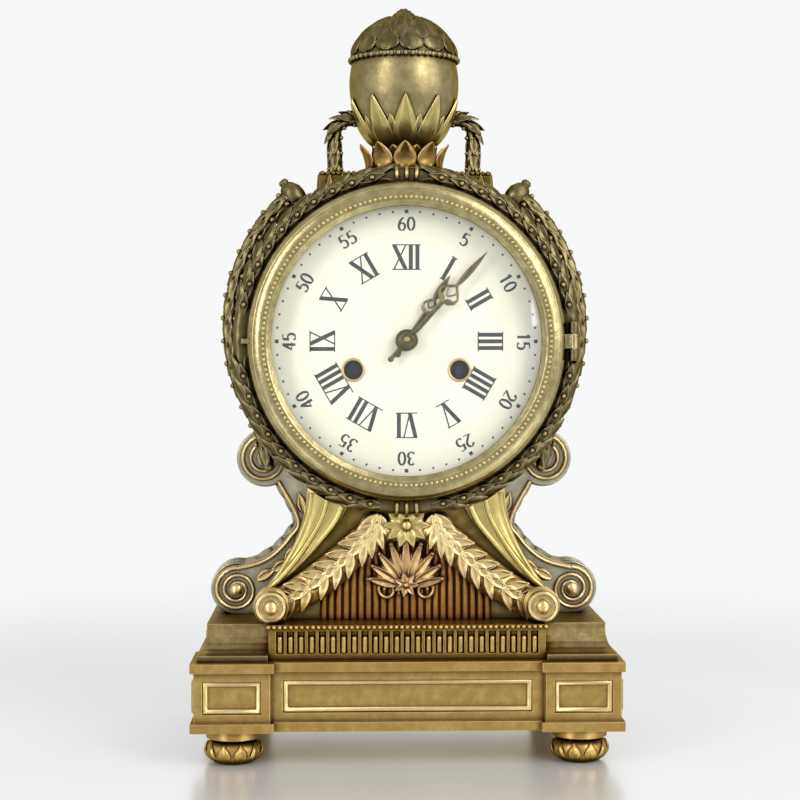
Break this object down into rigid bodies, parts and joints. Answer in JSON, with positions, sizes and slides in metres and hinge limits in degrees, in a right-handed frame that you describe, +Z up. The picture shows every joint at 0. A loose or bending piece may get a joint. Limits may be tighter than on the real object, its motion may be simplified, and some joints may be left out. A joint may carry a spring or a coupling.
{
  "type": "pendulette clock",
  "caption": "Small striking mantel clock: round glazed drum with a white enamel dial on a waisted pedestal and plinth, with a covered urn on top.",
  "frame": {"origin": "on the surface the clock stands on, under the middle of its plinth", "axes": "+Z up, -Y towards the viewer of the dial, +X to that viewer's right"},
  "size_m": [0.146, 0.096, 0.262],
  "materials": {
    "gilt_bronze": "matt gilding with dark patina in the hollows",
    "burnished_gilt": "burnished gilding",
    "gilt_hands": "polished gilding",
    "movement_brass": "polished brass",
    "steel": "polished steel",
    "spring_steel": "blued steel",
    "bell_metal": "turned bronze",
    "enamel": "glossy white enamel",
    "glass": "polished glass"
  },
  "bodies": {
    "case": {"feet": "gilt_bronze", "base_plinth": "gilt_bronze", "base_plate": "movement_brass", "upper_plinth": "gilt_bronze", "fluted_frieze": "gilt_bronze", "pedestal": "gilt_bronze", "leg_left": "gilt_bronze", "leg_right": "gilt_bronze", "scroll_left": "gilt_bronze", "scroll_right": "gilt_bronze", "palmette": "gilt_bronze", "drum_case": "gilt_bronze", "front_ring": "gilt_bronze", "garland_left": "gilt_bronze", "garland_right": "gilt_bronze", "dial_plate": "movement_brass", "dial": "enamel", "rear_ring": "gilt_bronze", "urn_base": "gilt_bronze", "urn_body": "burnished_gilt", "urn_lid": "gilt_bronze", "swag_left": "gilt_bronze", "swag_right": "gilt_bronze", "front_plate": "movement_brass", "back_plate": "movement_brass", "pillars": "movement_brass", "pallet_cock": "movement_brass", "bell": "bell_metal", "bell_stand": "movement_brass", "hinge_pins": "steel"},
    "bezel": {"bezel": "burnished_gilt", "bezel_glass": "glass"},
    "door": {"back_door": "gilt_bronze"},
    "minute_arbor": {"centre_wheel": "movement_brass", "cannon_pinion": "movement_brass", "minute_hand": "gilt_hands", "hand_nut": "gilt_hands"},
    "hour_arbor": {"hour_wheel": "movement_brass", "hour_hand": "gilt_hands"},
    "minute_wheel": {"minute_wheel": "movement_brass"},
    "going_barrel": {"going_barrel": "movement_brass", "going_mainspring": "spring_steel"},
    "going_arbor": {"going_arbor": "steel"},
    "second_arbor": {"second_wheel": "movement_brass"},
    "third_arbor": {"third_wheel": "movement_brass"},
    "escape_arbor": {"escape_wheel": "movement_brass"},
    "pallets": {"pallets": "steel"},
    "pendulum": {"suspension_spring": "spring_steel", "pendulum_rod": "steel"},
    "bob": {"pendulum_bob": "movement_brass"},
    "rating_nut": {"rating_nut": "movement_brass"},
    "strike_barrel": {"strike_barrel": "movement_brass", "strike_mainspring": "spring_steel"},
    "strike_arbor": {"strike_arbor": "steel"},
    "pin_arbor": {"pin_wheel": "movement_brass"},
    "locking_arbor": {"locking_wheel": "movement_brass"},
    "fly_arbor": {"fly": "movement_brass"},
    "hammer": {"hammer": "steel"},
    "going_click": {"going_click": "steel"},
    "strike_click": {"strike_click": "steel"}
  },
  "joints": [
    {"name": "minute_turn", "type": "hinge", "parent": "case", "child": "minute_arbor", "pos_m": [0, 0, 0.143], "axis": [0, 1, 0], "continuous": true},
    {"name": "hour_turn", "type": "hinge", "parent": "case", "child": "hour_arbor", "pos_m": [0, 0, 0.143], "axis": [0, 1, 0], "continuous": true},
    {"name": "minute_wheel_turn", "type": "hinge", "parent": "case", "child": "minute_wheel", "pos_m": [0, 0, 0.1526], "axis": [0, 1, 0], "continuous": true},
    {"name": "second_turn", "type": "hinge", "parent": "case", "child": "second_arbor", "pos_m": [0.01208, 0, 0.15156], "axis": [0, 1, 0], "continuous": true},
    {"name": "going_barrel_turn", "type": "hinge", "parent": "case", "child": "going_barrel", "pos_m": [0.0182, 0, 0.1332], "axis": [0, 1, 0], "continuous": true},
    {"name": "third_turn", "type": "hinge", "parent": "case", "child": "third_arbor", "pos_m": [-0.00493, 0, 0.15653], "axis": [0, 1, 0], "continuous": true},
    {"name": "escape_turn", "type": "hinge", "parent": "case", "child": "escape_arbor", "pos_m": [0, 0, 0.16774], "axis": [0, 1, 0], "continuous": true},
    {"name": "going_winding", "type": "hinge", "parent": "case", "child": "going_arbor", "pos_m": [0.0182, 0, 0.1332], "axis": [0, 1, 0], "continuous": true},
    {"name": "pin_wheel_turn", "type": "hinge", "parent": "case", "child": "pin_arbor", "pos_m": [-0.02321, 0, 0.15189], "axis": [0, 1, 0], "continuous": true},
    {"name": "strike_barrel_turn", "type": "hinge", "parent": "case", "child": "strike_barrel", "pos_m": [-0.0182, 0, 0.1332], "axis": [0, 1, 0], "continuous": true},
    {"name": "locking_turn", "type": "hinge", "parent": "case", "child": "locking_arbor", "pos_m": [-0.01856, 0, 0.16467], "axis": [0, 1, 0], "continuous": true},
    {"name": "fly_turn", "type": "hinge", "parent": "case", "child": "fly_arbor", "pos_m": [-0.01298, 0, 0.17434], "axis": [0, 1, 0], "continuous": true},
    {"name": "strike_winding", "type": "hinge", "parent": "case", "child": "strike_arbor", "pos_m": [-0.0182, 0, 0.1332], "axis": [0, 1, 0], "continuous": true},
    {"name": "pendulum_swing", "type": "hinge", "parent": "case", "child": "pendulum", "pos_m": [0, 0.0203, 0.17904], "axis": [0, 1, 0], "range_deg": [-4, 4]},
    {"name": "pallets_swing", "type": "hinge", "parent": "case", "child": "pallets", "pos_m": [0, 0, 0.17904], "axis": [0, 1, 0], "range_deg": [-4, 4]},
    {"name": "bob_slide", "type": "slide", "parent": "pendulum", "child": "bob", "axis": [0, 0, 1], "range_m": [-0.0015, 0.0015]},
    {"name": "rating_turn", "type": "hinge", "parent": "bob", "child": "rating_nut", "pos_m": [0, 0.0203, 0.05204], "axis": [0, 0, 1], "range_deg": [-1080, 1080]},
    {"name": "hammer_swing", "type": "hinge", "parent": "case", "child": "hammer", "pos_m": [-0.036, 0, 0.146], "axis": [0, 1, 0], "range_deg": [-12, 9]},
    {"name": "going_click_swing", "type": "hinge", "parent": "case", "child": "going_click", "pos_m": [0.02701, 0, 0.14059], "axis": [0, 1, 0], "range_deg": [0, 12], "stiffness_Nm_per_rad": 0.0005},
    {"name": "strike_click_swing", "type": "hinge", "parent": "case", "child": "strike_click", "pos_m": [-0.02701, 0, 0.14059], "axis": [0, 1, 0], "range_deg": [-12, 0], "stiffness_Nm_per_rad": 0.0005},
    {"name": "bezel_hinge", "type": "hinge", "parent": "case", "child": "bezel", "pos_m": [0.057, -0.033, 0.143], "axis": [0, 0, 1], "range_deg": [0, 110]},
    {"name": "door_hinge", "type": "hinge", "parent": "case", "child": "door", "pos_m": [-0.0539, 0.0377, 0.143], "axis": [0, 0, 1], "range_deg": [0, 110]}
  ],
  "couplings": [
    {"joint": "hour_turn", "follows": "minute_turn", "ratio": 0.083333},
    {"joint": "minute_wheel_turn", "follows": "minute_turn", "ratio": -0.33333},
    {"joint": "second_turn", "follows": "minute_turn", "ratio": -0.15625},
    {"joint": "going_barrel_turn", "follows": "minute_turn", "ratio": 0.020559},
    {"joint": "third_turn", "follows": "minute_turn", "ratio": -8},
    {"joint": "escape_turn", "follows": "minute_turn", "ratio": 60},
    {"joint": "strike_barrel_turn", "follows": "pin_wheel_turn", "ratio": -0.13158},
    {"joint": "locking_turn", "follows": "pin_wheel_turn", "ratio": -7.5},
    {"joint": "fly_turn", "follows": "pin_wheel_turn", "ratio": 50.625},
    {"joint": "pallets_swing", "follows": "pendulum_swing", "ratio": 1},
    {"joint": "rating_turn", "follows": "bob_slide", "rad_per_m": 12566}
  ]
}
